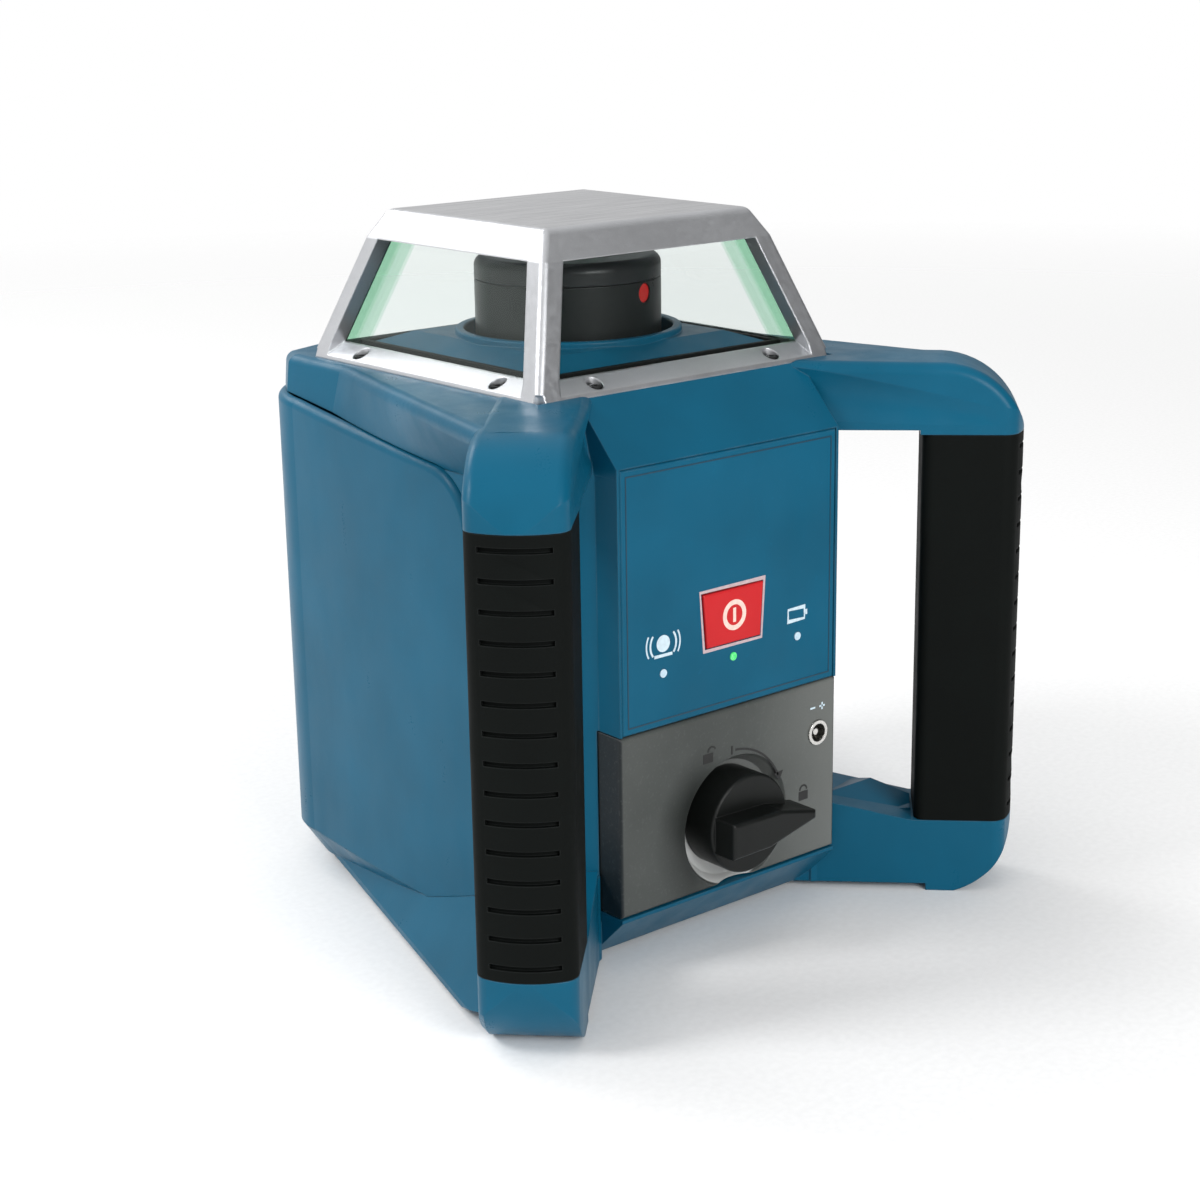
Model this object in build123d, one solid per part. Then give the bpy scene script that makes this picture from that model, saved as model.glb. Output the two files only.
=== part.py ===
from build123d import *
import os
from math import cos, radians, sin, sqrt

# Rotating laser level, millimetres. Z is the rotor's axis and z = 0 is the plane of the feet and of the
# tripod thread's mouth. The control panel faces -Y, and +X is on the right of someone facing the panel.

os.makedirs("parts", exist_ok=True)

# Body: the base's side runs straight from the back corner to the front handle
base_outline_x = -65.9
base_outline_slope = 0.295
base_slope = 52
skirt_inset = 6.5
wall = 2.6
case_bottom = 12.5
base_floor = 5.5
split_y = -36.7
back_y = 73.0
base_back_y = 78.2
seam_gap = 0.35

# Front column, control panel and drawer opening
column_half = 38.0
column_y = -64.5
panel_top = 132.6
panel_bottom = 64.6
panel_back = -62.3
drawer_top = 64.2
drawer_bottom = 15.7
drawer_back = -52.3
bulkhead_y = -51.2

# Handles: radius from the rotor's axis along the diagonal, and half width across it
grip_outer = 121.9
grip_inner = 94.6
grip_half = 12.2
grip_low = 20.9
grip_high = 129.2
grip_corner = 4.5
grip_crown = 3.5
groove_count = 15
groove_depth = 1.2
groove_half = 8.6
crown_centre = 98.89
arm_under = 130.5
scoop_start = 12.6
core_inset = 3.0
foot_chamfer = 1.6

# Top deck and guard
deck_z = 148.2
deck_under = 145.4
deck_rim = 3.0
guard_base = 50.1
guard_rim = 38.7
guard_rim_z = 180.3
guard_top = 34.2
guard_top_z = 188.0
guard_wall = 4.8
rail_top_z = 152.5
post_width = 6.3
glass_thick = 2.8
collar_half = 38.7
collar_r = 30.5
collar_hole = 28.0
collar_top = 156.8

# Gimbal and optics
pivot_z = 139.0
ring_in = 33.0
ring_out = 38.5
ring_half = 2.8
flange_r = 31.0
pin_r = 2.0
pin_clearance = 0.05
tube_r = 11.0
neck_r = 8.0
neck_top = 158.2
bearing_r = 13.0
hub_r = 15.5
rotor_r = 25.0
rotor_bottom = 151.0
rotor_top = 176.0
rotor_joint = 170.0
beam_z = 167.0
beam_angle = 15.0
drive_offset = 23.0
drive_r = 3.5
drive_z = 146.0

# Levelling drives
nut_x_reach = 46.0
nut_y_reach = 25.0
nut_gap = 0.3

# Battery drawer: two D cells side by side
cell_r = 17.1
cell_length = 61.5
cell_x = 17.3
cell_z = 39.8
cell_start = -46.2
tray_half = 36.7
tray_low = 17.4
tray_high = 61.8
tray_end = 19.0
bay_half = 37.1
bay_low = 16.9
bay_high = 62.5
bay_wall = 1.6
bay_end = 23.0

# Drawer lock and charging jack
knob_z = 34.0
knob_r = 13.4
knob_face = -71.4
bar_face = -78.6
dish_x = 1.6
dish_drop = 1.6
dish_r = 18.2
dish_depth = 4.0
jack_x = 31.3
jack_z = 50.0

# Control panel
button_z = 89.1
button_travel = 1.0
board_y = -59.5
led_spots = [(0.4, 78.0), (-23.6, 78.6), (23.4, 78.7)]

# Tripod thread 5/8 inch
thread_r = 7.94
thread_depth = 13.0


def block(x0, x1, y0, y1, z0, z1):
    return Pos((x0 + x1) / 2, (y0 + y1) / 2, (z0 + z1) / 2) * Box(x1 - x0, y1 - y0, z1 - z0)


def disc(x, y, z0, z1, radius):
    return Pos(x, y, (z0 + z1) / 2) * Cylinder(radius, z1 - z0)


def rod(start, end, radius):
    a, b = Vector(*start), Vector(*end)
    place = Plane(origin=(a + b) / 2, z_dir=b - a).location
    return place * Cylinder(radius, (b - a).length)


def mirrored(points):
    return points + [(-x, y) for x, y in reversed(points)]


def prism(points, z0, z1):
    return extrude(Pos(0, 0, z0) * make_face(Polyline(*points, close=True)), amount=z1 - z0, dir=(0, 0, 1))


def side_profile(points, x0, x1):
    outline = Polyline(*[(x0, y, z) for y, z in points], close=True)
    return extrude(make_face(outline), amount=x1 - x0, dir=(1, 0, 0))


def lofted(low, z0, high, z1):
    bottom = Pos(0, 0, z0) * make_face(Polyline(*low, close=True))
    top = Pos(0, 0, z1) * make_face(Polyline(*high, close=True))
    return loft([bottom, top], ruled=True)


def square(half):
    return [(-half, -half), (half, -half), (half, half), (-half, half)]


def both_sides(solid):
    return [solid, mirror(solid, about=Plane.YZ)]


def to_handle(solid):
    return Rot(0, 0, -45) * solid


def handle_box(r0, r1, half, z0, z1):
    return block(r0, r1, -half, half, z0, z1)


def handle_profile(edges, half):
    face = make_face(edges)
    return extrude(Pos(0, -half, 0) * face, amount=2 * half, dir=(0, 1, 0))


def save(name, *solids):
    shape = solids[0] if len(solids) == 1 else Compound(children=list(solids))
    shape.label = name
    export_step(shape, f"parts/{name}.step")


# ---------------------------------------------------------------- body shells

def rear_outline(inset, front):
    d = inset
    left = [
        ThreePointArc((0, back_y - d), (-22, back_y - 0.9 - d), (-42 + 0.3 * d, 69 - d)),
        ThreePointArc((-42 + 0.3 * d, 69 - d), (-53.2 + 0.7 * d, 62.5 - 0.7 * d), (-58.3 + d, 48 - 0.2 * d)),
        ThreePointArc((-58.3 + d, 48 - 0.2 * d), (-61.3 + d, 8), (-62.6 + d, front)),
    ]
    right = [mirror(edge, about=Plane.YZ) for edge in left]
    return make_face(left + [Line((-62.6 + d, front), (62.6 - d, front))] + right)


def seam_edges(gap):
    back = (80, 140.2 + gap)
    side = (-20, 131.4 + gap)
    middle = (-31.2 - gap * 0.7, 127 + gap * 0.7)
    front = (split_y - gap, 117)
    return back, side, middle, front


def below_seam(gap):
    """The space under the seam line, which the rear case fills up to its rounded front corner."""
    back, side, middle, front = seam_edges(gap)
    points = [(0, *back), (0, *side), (0, *middle), (0, *front)]
    foot = (0, split_y - gap, 0)
    heel = (0, 80, 0)
    face = make_face([
        Line(heel, points[0]), Line(points[0], points[1]), ThreePointArc(*points[1:]),
        Line(points[3], foot), Line(foot, heel)])
    return extrude(Pos(-80, 0, 0) * face, amount=160, dir=(1, 0, 0))


def rear_case():
    shell = extrude(Pos(0, 0, case_bottom) * rear_outline(0, split_y), amount=134, dir=(0, 0, 1))
    shell = shell & below_seam(0)
    lip = shell.edges().filter_by(lambda e: e.center().Z > 116 and abs(e.center().X) > 50
                                  and e.center().Y > split_y + 0.2)
    shell = fillet(lip, 2.3)
    shell -= extrude(Pos(0, 0, case_bottom - 1) * rear_outline(wall, split_y - 3), amount=140, dir=(0, 0, 1))
    for x, y in ((46, 51), (-46, 51)):
        shell += disc(x, y, case_bottom, 26, 4.0) - disc(x, y, case_bottom, 20, 1.5)
        shell += block(min(x * 1.07, x * 1.24), max(x * 1.07, x * 1.24), y - 1, y + 1, case_bottom, 26)
    return shell


deck_outline = [(-38, 67.5), (-49.5, 63.5), (-53.5, 56), (-53.5, 30.5), (-80.6, -63.4), (-71, -71),
                (-36, -50.1)]
waist_outline = [(-40, 68.2), (-51.5, 63), (-56.2, 55), (-58.2, 30.5), (-61.4, -36.9), (-57, -41.3),
                 (-37.9, -56.2)]
deck_inside = [(-37, 62), (-47, 59), (-50, 53), (-50.4, 30), (-56, -33), (-50, -44), (-33, -46.5)]
waist_inside = [(-38, 65), (-49, 60.5), (-53.3, 53.5), (-55.3, 30), (-58.6, -35.6), (-55.6, -39),
                (-35.4, -53)]
front_walls = [(-61.4, -20), (-61.4, -36.9), (-57, -41.3), (-37.9, -56.2), (-38, column_y)]
front_inside = [(-58.6, -18), (-58.6, -35.6), (-55.6, -39), (-35.4, -54.4), (-35.4, column_y + wall)]


def rounded_plan(inner, z0, z1):
    """A handle's plan from a radius outwards: a crowned outer face between rounded corners."""
    corner = grip_outer - grip_crown
    face = make_face([
        Line((inner, -grip_half), (corner, -grip_half)),
        ThreePointArc((corner, -grip_half), (grip_outer, 0), (corner, grip_half)),
        Line((corner, grip_half), (inner, grip_half)), Line((inner, grip_half), (inner, -grip_half))])
    body = extrude(Pos(0, 0, z0) * face, amount=z1 - z0, dir=(0, 0, 1))
    corners = body.edges().filter_by(Axis.Z).filter_by(lambda e: e.center().X > inner + 1)
    return fillet(corners, grip_corner)


def upper_arm():
    """One arm from the deck to the top of its grip, along +X before it is turned to the diagonal."""
    top_in = (56, 0, 148.9)
    top_out = (98, 0, 148.2)
    end = (grip_outer, 0, grip_high + 0.1)
    edges = [
        Line((56, 0, arm_under), top_in), Line(top_in, top_out),
        ThreePointArc(top_out, (114.2, 0, 142.6), end),
        Line(end, (grip_inner - 0.6, 0, grip_high + 0.1)),
        Line((grip_inner - 0.6, 0, grip_high + 0.1), (grip_inner - 0.6, 0, arm_under)),
        Line((grip_inner - 0.6, 0, arm_under), (56, 0, arm_under)),
    ]
    arm = handle_profile(edges, grip_half)
    rim = arm.edges().filter_by(lambda e: e.center().X > 60 and e.center().Z > 133
                                and abs(abs(e.center().Y) - grip_half) < 0.1)
    arm = fillet(rim, 3.0) & rounded_plan(50, 100, 160)
    start, end = Vector(58, -grip_half - 10.3, 141), Vector(119, -grip_half - 10.3, 133.5)
    place = Plane(origin=(start + end) / 2, z_dir=end - start).location
    return arm - place * Cone(scoop_start, 10.3, (end - start).length)


def front_case():
    shell = lofted(mirrored(waist_outline), arm_under, mirrored(deck_outline), deck_z)
    rim = shell.edges().filter_by(lambda e: e.center().Z > deck_z - 0.1 and e.center().Y > -50)
    shell = fillet(rim, deck_rim)
    shell += prism(mirrored(front_walls), case_bottom, arm_under)
    shell += side_profile([(-36, arm_under), (column_y, arm_under), (column_y, 132.9), (-guard_base, deck_z),
                           (-36, deck_z)], -column_half, column_half)
    shell -= below_seam(seam_gap)
    shell -= lofted(mirrored(waist_inside), arm_under - 0.5, mirrored(deck_inside), deck_under)
    shell -= prism(mirrored(front_inside), case_bottom - 1, arm_under)
    shell -= side_profile([(-40, 130), (column_y + wall, 130), (column_y + wall, 131.8),
                           (-48.4, deck_under), (-40, deck_under)], -35.4, 35.4)
    for arm in both_sides(to_handle(upper_arm())):
        shell += arm
    shell -= disc(0, 0, deck_under - 1, deck_z + 1, 36.5)
    shell -= prism(square(guard_base + 0.05), deck_z, deck_z + 5)
    shell -= block(-80, 80, split_y, 80, 0, 112)
    shell -= block(-column_half - 0.3, column_half + 0.3, -70, bulkhead_y, 0, panel_bottom - 0.1)
    shell -= block(-37.2, 37.2, column_y - 1, column_y + wall + 0.1, panel_bottom - 1, panel_top + 0.1)
    frame = prism(mirrored([(-55, -43), (-55, bulkhead_y + 2), (-44.4, bulkhead_y)]), case_bottom, drawer_top)
    frame = frame & prism(mirrored(front_walls[1:]), case_bottom, drawer_top)
    frame &= block(-60, 60, bulkhead_y, bulkhead_y + 2, 0, 70)
    frame -= block(-bay_half, bay_half, -60, -40, bay_low, bay_high)
    shell += frame
    for x in (-46, 46):
        shell += disc(x, -40.5, case_bottom, 26, 3.7) + block(x - 1, x + 1, -47.6, -43, case_bottom, 26)
        shell -= disc(x, -40.5, case_bottom, 20, 1.5)
    for x, y in guard_screw_spots():
        shell -= disc(x, y, deck_z - 5, deck_z + 2, 1.2)
    return shell


def base_arm():
    edges = [
        Line((56, 0, 2), (98.3, 0, 2)), Line((98.3, 0, 2), (98.3, 0, 0)), Line((98.3, 0, 0), (106, 0, 0)),
        ThreePointArc((106, 0, 0), (117.4, 0, 8.2), (grip_outer, 0, grip_low - 0.1)),
        Line((grip_outer, 0, grip_low - 0.1), (grip_inner - 0.6, 0, grip_low - 0.1)),
        Line((grip_inner - 0.6, 0, grip_low - 0.1), (56, 0, 29)), Line((56, 0, 29), (56, 0, 2)),
    ]
    arm = handle_profile(edges, grip_half)
    low = arm.edges().filter_by(lambda e: abs(e.center().Y - grip_half) < 0.1
                                and e.center().X > 101 and e.center().Z < 14)
    return chamfer(low, foot_chamfer) & rounded_plan(50, -1, 60)


def heel_relief():
    """Room under the base's corner, so that its lower edge rises to meet the handle's side above the foot."""
    outline = Polyline((96, 0, -1), (96, 0, 1.9), (110, 0, 6.4), (140, 0, 6.4), (140, 0, -1), close=True)
    return handle_profile(outline, 40)


def base_frame():
    left = [(-34, base_back_y), (-43.4, 75), (-86.3, -69), (-72, -74), (-38, -56), (-38, -52)]
    plate = prism(mirrored(left), 2, 27)
    rear_low = plate.edges().filter_by(lambda e: abs(e.center().Z - 2) < 0.1 and e.center().Y > 74)
    plate = chamfer(rear_low, 4)
    plate = plate & side_profile([(80, 0), (80, 10), (30, case_bottom), (-7, 15), (-31, 19.8), (-54, 26),
                                  (-67, 21.5), (-90, 20.8), (-90, 0)], -100, 100)
    edge = Vector(base_outline_slope, 1, 0).normalized()
    inward = Vector(edge.Y, -edge.X, 0)
    slope = Plane(origin=(base_outline_x, 0, 3.5), x_dir=(edge.X, edge.Y, 0),
                  z_dir=(-inward.X * sin(radians(base_slope)), -inward.Y * sin(radians(base_slope)),
                         cos(radians(base_slope))))
    cutter = slope.location * (Pos(0, 0, 40) * Box(400, 400, 80))
    for solid in both_sides(cutter):
        plate -= solid
    skirt = loft([Pos(0, 0, 3) * rear_outline(skirt_inset, split_y),
                  Pos(0, 0, case_bottom) * rear_outline(0, split_y)], ruled=True)
    frame = plate + skirt
    for relief in both_sides(to_handle(heel_relief())):
        frame -= relief
    for arm in both_sides(to_handle(base_arm())):
        frame += arm
    for room in both_sides(to_handle(handle_box(grip_inner - 0.6, 140, 20, grip_low - 0.1, 60))):
        frame -= room
    rest = extrude(Pos(0, 0, case_bottom) * rear_outline(-0.1, split_y - 0.5), amount=40, dir=(0, 0, 1))
    rest += prism(mirrored([(x - 0.1, y - 0.1) for x, y in front_walls[:4]]), case_bottom, 48)
    frame -= rest
    frame -= block(-column_half - 0.1, column_half + 0.1, -70, -40, case_bottom, 48)
    frame += side_profile([(bulkhead_y - 0.2, 2), (-52, 2), (column_y, 14.4), (column_y, 15.3),
                           (bulkhead_y - 0.2, 15.3)], -column_half, column_half)
    frame -= extrude(Pos(0, 0, base_floor) * rear_outline(9, split_y), amount=12, dir=(0, 0, 1))
    frame -= block(-50, 50, bulkhead_y + 4, split_y + 1, base_floor, 20)
    frame -= disc(0, 0, -1, 10, 11)
    for x, y in base_screw_spots():
        frame += disc(x, y, base_floor - 1, case_bottom, 4.2)
        frame -= disc(x, y, 0, 4.2, 3.4)
        frame -= disc(x, y, 0, case_bottom + 1, 1.6)
    return frame + disc(0, 68, 0, 2, 6)


def base_screw_spots():
    return [(46, 51), (-46, 51), (46, -40.5), (-46, -40.5)]


def guard_screw_spots():
    spots = []
    for along in (-30, 30):
        for side in (-46.9, 46.9):
            spots += [(along, side), (side, along)]
    return spots


def base_screws():
    made = []
    for x, y in base_screw_spots():
        made.append(disc(x, y, 2.2, 4.2, 3.2) + disc(x, y, 4.2, 19, 1.5) - disc(x, y, 2, 3.6, 1.3))
    return made


def guard_screws():
    made = []
    for x, y in guard_screw_spots():
        head = disc(x, y, 149.0, 150.3, 1.9) - disc(x, y, 149.6, 150.4, 0.9)
        made.append(head + disc(x, y, 143.6, 149.0, 1.2))
    return made


# ---------------------------------------------------------------- handles

def handle_core():
    core = handle_box(grip_inner + core_inset, grip_outer - core_inset - 2, grip_half - core_inset,
                      grip_low - 0.1, grip_high + 0.1)
    return fillet(core.edges().filter_by(Axis.Z), 5.0)


def grip():
    body = rounded_plan(grip_inner, grip_low, grip_high)
    inner = body.edges().filter_by(Axis.Z).filter_by(lambda e: e.center().X < grip_inner + 1)
    body = fillet(inner, 3.0)
    pitch = (grip_high - grip_low) / groove_count
    floor = Pos(crown_centre, 0, 0) * Cylinder(grip_outer - crown_centre - groove_depth, 2)
    for index in range(groove_count):
        z = grip_low + pitch * (index + 0.5)
        room = block(100, grip_outer + 1, -groove_half, groove_half, z - 0.65, z + 0.65)
        body -= room - Pos(0, 0, z) * floor
    return body - handle_core()


# ---------------------------------------------------------------- guard, glass and collar

def guard_half(z):
    return guard_base + (guard_rim - guard_base) * (z - deck_z) / (guard_rim_z - deck_z)


def guard_frame():
    outer = lofted(square(guard_base), deck_z, square(guard_rim), guard_rim_z)
    cap = lofted(square(guard_rim), guard_rim_z, square(guard_top), guard_top_z)
    outer = outer + cap
    top = outer.edges().filter_by(lambda e: e.center().Z > guard_top_z - 0.1)
    outer = fillet(top, 3.0)
    corners = outer.edges().filter_by(lambda e: 155 < e.center().Z < 186
                                      and abs(abs(e.center().X) - abs(e.center().Y)) < 0.5)
    outer = fillet(corners, 1.8)
    low, high = deck_z - 1, 182.6
    outer -= lofted(square(guard_half(low) - guard_wall), low, square(guard_half(high) - guard_wall), high)
    for turn in (0, 90, 180, 270):
        outer -= Rot(0, 0, turn) * window_cut()
    for x in (-49.7, 49.7):
        for y in (-49.7, 49.7):
            outer -= disc(x, y, deck_z - 1, 150.4, 1.9)
    for x, y in guard_screw_spots():
        outer -= disc(x, y, 149.0, 156, 2.3)
        outer -= disc(x, y, 147, 152, 1.2)
    return outer


def window_cut():
    low_half = guard_half(rail_top_z) - post_width
    high_half = guard_half(guard_rim_z) - post_width
    face_points = [(-high_half, guard_rim_z), (high_half, guard_rim_z), (low_half, rail_top_z),
                   (low_half + 0.4, deck_z + 1.0), (-low_half - 0.4, deck_z + 1.0), (-low_half, rail_top_z)]
    outline = Polyline(*[(x, -60, z) for x, z in face_points], close=True)
    through = extrude(make_face(outline), amount=30, dir=(0, 1, 0))
    inner_half = guard_half(rail_top_z) - guard_wall
    rail_section = [
        (-guard_base - 1, deck_z - 1), (-guard_base - 1, deck_z + 0.6), (-guard_base, deck_z + 1.0),
        (-inner_half, rail_top_z), (-inner_half + 1, rail_top_z), (-inner_half + 1, deck_z - 1)]
    rail = side_profile(rail_section, -60, 60)
    return through - rail


def glass_pane():
    """The front pane, mitred at its sides; the other three are this one turned."""
    low, high = 150.3, 182.0
    gap = 0.12
    outer = lofted(square(guard_half(low) - guard_wall - gap), low,
                   square(guard_half(high) - guard_wall - gap), high)
    inner = lofted(square(guard_half(low) - guard_wall - glass_thick), low,
                   square(guard_half(high) - guard_wall - glass_thick), high)
    wedge = prism([(0, -0.2), (-60, -60.2), (60, -60.2)], low - 1, high + 1)
    return (outer - inner) & wedge


def guard_gasket():
    outer = guard_half(150) - guard_wall - 0.2
    ring = prism(square(outer), 148.3, 150.2)
    lip_out = guard_half(152.5) - guard_wall - glass_thick - 0.7
    ring += prism(square(lip_out), 148.3, 152.7)
    return ring - prism(square(collar_half + 0.1), 148, 153)


def collar_plate():
    plate = prism(square(collar_half), deck_z, 151.8)
    plate += lofted(square(collar_half), 151.8, square(29.5), 155.2)
    plate += disc(0, 0, deck_z, collar_top, collar_r)
    plate -= disc(0, 0, 140, 160, collar_hole)
    rim = plate.edges().filter_by(lambda e: e.center().Z > collar_top - 0.1)
    plate = fillet(rim, 0.6)
    return plate


# ---------------------------------------------------------------- control panel

def button_outline(grow, y0, y1):
    pts = [(-9.0 - grow, 82.0 - grow), (9.6 + grow, 82.0 - grow), (10.6 + grow, 96.3 + grow),
           (-10.3 - grow, 96.3 + grow)]
    outline = Polyline(*[(x, y0, z) for x, z in pts], close=True)
    return extrude(make_face(outline), amount=y1 - y0, dir=(0, 1, 0))


def control_panel():
    plate = block(-37.0, 37.0, column_y, panel_back, panel_bottom, panel_top - 0.1)
    face = plate.edges().filter_by(lambda e: abs(e.center().Y - column_y) < 0.05)
    plate = chamfer(face, 0.35)
    plate -= button_outline(0.3, column_y - 1, panel_back + 1)
    for x, z in led_spots:
        plate -= rod((x, column_y - 1, z), (x, panel_back + 1, z), 1.1)
    return plate


def power_button():
    key = button_outline(0, column_y - 0.6, panel_back + 0.1)
    face = key.edges().filter_by(lambda e: abs(e.center().Y - (column_y - 0.6)) < 0.05)
    key = fillet(face, 0.4)
    key += button_outline(1.3, panel_back + 0.1, panel_back + 0.7)
    return key


def led_lenses():
    made = []
    for x, z in led_spots:
        made.append(rod((x, column_y - 0.25, z), (x, panel_back + 1.2, z), 1.1))
    return made


def main_board():
    board = block(-33, 33, board_y, board_y + 1.6, 68, 129)
    for x, z, w, h in ((-14, 112, 9, 9), (12, 108, 12, 7), (20, 90, 6, 6), (-20, 84, 7, 5), (2, 76, 5, 8)):
        board += block(x - w / 2, x + w / 2, board_y + 1.6, board_y + 3.0, z - h / 2, z + h / 2)
    return board


def tact_switch():
    base = block(-3, 3, board_y - 0.6, board_y, button_z - 3, button_z + 3)
    return base + rod((0, board_y - 0.95, button_z), (0, board_y, button_z), 1.6)


# ---------------------------------------------------------------- chassis, gimbal and optics

def chassis_plate():
    plate = block(-51, 51, -36, 58, 66.2, 68.8)
    plate -= disc(0, 0, 60, 70, 17)
    for x in (-35.5, 35.5):
        plate += block(x - 2, x + 2, -30, 20, 64.2, 66.2)
    return plate


def gimbal_bracket():
    made = []
    for side in (-1, 1):
        x0, x1 = sorted((side * 41.5, side * 46.5))
        pillar = block(x0, x1, -6, 6, 71, 139) + block(x0 - 3, x1 + 3, -9, 9, 68.8, 71)
        pillar += rod((x0, 0, pivot_z), (x1, 0, pivot_z), 6)
        pillar -= rod((x0 - 1, 0, pivot_z), (x1 + 1, 0, pivot_z), pin_r)
        made.append(pillar)
    return made


def outer_pivot_pins():
    return [rod((side * 34.5, 0, pivot_z), (side * 47.5, 0, pivot_z), pin_r) for side in (-1, 1)]


def outer_ring():
    ring = disc(0, 0, pivot_z - ring_half, pivot_z + ring_half, ring_out)
    ring -= disc(0, 0, pivot_z - 5, pivot_z + 5, ring_in)
    for side in (-1, 1):
        ring -= rod((side * 30, 0, pivot_z), (side * 45, 0, pivot_z), pin_r + pin_clearance)
        ring -= rod((0, side * 30, pivot_z), (0, side * 45, pivot_z), pin_r)
    ring += block(-4, 4, 37.5, 49.5, pivot_z - 2, pivot_z + 1.5)
    ring -= rod((0, 36, pivot_z), (0, 40.5, pivot_z), pin_r)
    ring += rod((0, nut_x_reach, pivot_z - 5), (0, nut_x_reach, pivot_z - 2), 2)
    ring += Pos(0, nut_x_reach, pivot_z - 5) * Sphere(2)
    hanger = block(-38, -34.2, -8, 8, 108, pivot_z - ring_half + 0.1)
    hanger += block(-38, -18, -8, 8, 106, 108.4)
    hanger -= disc(-nut_y_reach, 0, 100, 110, 1.3)
    return ring + hanger


def inner_pivot_pins():
    return [rod((0, side * 25, pivot_z), (0, side * 38.4, pivot_z), pin_r) for side in (-1, 1)]


def optics_carrier():
    body = disc(0, 0, pivot_z - 3, pivot_z + 3, flange_r)
    body += disc(0, 0, 80, pivot_z, tube_r)
    body += disc(0, 0, pivot_z, neck_top, neck_r)
    body -= disc(0, 0, 79, pivot_z - 10, 7.5)
    body -= disc(0, 0, 100, 160, 5)
    for side in (-1, 1):
        body -= rod((0, side * 24, pivot_z), (0, side * 40, pivot_z), pin_r + pin_clearance)
    body -= disc(drive_offset, 0, 130, 150, 5.6)
    body += rod((-nut_y_reach, 0, pivot_z - 6), (-nut_y_reach, 0, pivot_z - 2), 2)
    body += Pos(-nut_y_reach, 0, pivot_z - 6) * Sphere(2)
    return body


def laser_module():
    module = disc(0, 0, 82, 100, 7.4)
    return module + disc(0, 0, 78, 82, 4)


def collimator_lens():
    lens = disc(0, 0, 112, 114.5, 7.4)
    cap = Pos(0, 0, 112 - 12) * Sphere(16) & disc(0, 0, 114.5, 118, 7.4)
    return lens + cap


def tilt_vials():
    flat = rod((-9, -14.2, 92), (9, -14.2, 92), 3)
    across = rod((14.2, -9, 92), (14.2, 9, 92), 3)
    return [flat, across]


def vial_cradle():
    bed = block(-10, 10, -17.6, -10.6, 86.4, 88.9)
    bed += block(10.6, 17.6, -10, 10, 86.4, 88.9)
    return bed - disc(0, 0, 80, 95, tube_r)


def bearing(z0, z1):
    outer = disc(0, 0, z0, z1, bearing_r - pin_clearance) - disc(0, 0, z0 - 1, z1 + 1, bearing_r - 1.5)
    inner = disc(0, 0, z0, z1, neck_r + 1.5) - disc(0, 0, z0 - 1, z1 + 1, neck_r)
    web_z = (z0 + z1) / 2
    shield = disc(0, 0, web_z - 1.2, web_z + 1.2, bearing_r - 1) - disc(0, 0, z0, z1, neck_r + 1)
    return outer + inner + shield


def spin_motor():
    motor = disc(drive_offset, 0, 119, 142.0, 5.5)
    return motor + disc(drive_offset, 0, 142.0, 143.4, 2.4)


def motor_pulley():
    pulley = disc(drive_offset, 0, drive_z, drive_z + 3.6, drive_r)
    pulley -= disc(drive_offset, 0, drive_z + 0.9, drive_z + 2.7, drive_r + 1) \
        - disc(drive_offset, 0, drive_z, drive_z + 3.6, drive_r - 0.8)
    shaft = disc(drive_offset, 0, 143.7, drive_z, 0.75)
    return pulley + shaft


def drive_belt():
    """Flat belt round the hub's groove and the motor pulley, as one closed loop."""
    z0, z1 = drive_z + 1.2, drive_z + 2.4
    big, small = hub_r - 0.5, drive_r - 0.5

    def hull(r1, r2):
        k = (r1 - r2) / drive_offset
        s = sqrt(1 - k * k)
        body = prism([(r1 * k, r1 * s), (r1 * k, -r1 * s), (drive_offset + r2 * k, -r2 * s),
                      (drive_offset + r2 * k, r2 * s)], z0, z1)
        return body + disc(0, 0, z0, z1, r1) + disc(drive_offset, 0, z0, z1, r2)
    return hull(big + 0.6, small + 0.6) - hull(big, small)


# ---------------------------------------------------------------- rotor

def rotor_hub():
    hub = disc(0, 0, 145.5, 160.5, hub_r) - disc(0, 0, 145, 158.6, bearing_r)
    hub -= disc(0, 0, 158, 162, 6.0)
    hub += disc(0, 0, 158.8, 160.5, 22.5) - disc(0, 0, 158, 162, 6.0)
    hub -= disc(0, 0, drive_z + 0.9, drive_z + 2.7, hub_r + 1) - disc(0, 0, 140, 160, hub_r - 0.8)
    return hub


def beam_direction(angle=beam_angle):
    return sin(radians(angle)), -cos(radians(angle))


def window_rod(r0, r1, radius):
    dx, dy = beam_direction()
    return rod((dx * r0, dy * r0, beam_z), (dx * r1, dy * r1, beam_z), radius)


def rotor_shell():
    shell = disc(0, 0, rotor_bottom, rotor_joint, rotor_r)
    shell -= disc(0, 0, rotor_bottom - 1, rotor_joint + 1, 22.6)
    low = shell.edges().filter_by(lambda e: e.center().Z < rotor_bottom + 0.1)
    shell = chamfer(low, 0.6)
    return shell - window_rod(18, 30, 2.6)


def rotor_cap():
    cap = disc(0, 0, rotor_joint + 0.2, rotor_top, rotor_r)
    rim = cap.edges().filter_by(lambda e: e.center().Z > rotor_top - 0.1)
    cap = fillet(rim, 2.6)
    return cap - disc(0, 0, rotor_joint, rotor_top - 2.4, 22.6)


def beam_window():
    return window_rod(21.2, 24.4, 2.55)


def prism_mount():
    ring = disc(0, 0, 160.6, 162.2, 9) - disc(0, 0, 160, 163, 5)
    return ring


def beam_prism():
    half = 5.0
    body = block(-half, half, -half, half, 162.3, 171.5)
    body -= Pos(0, half, 171.5) * Rot(45, 0, 0) * Box(20, 5, 5)
    return Rot(0, 0, beam_angle) * body


# ---------------------------------------------------------------- levelling drives

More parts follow.
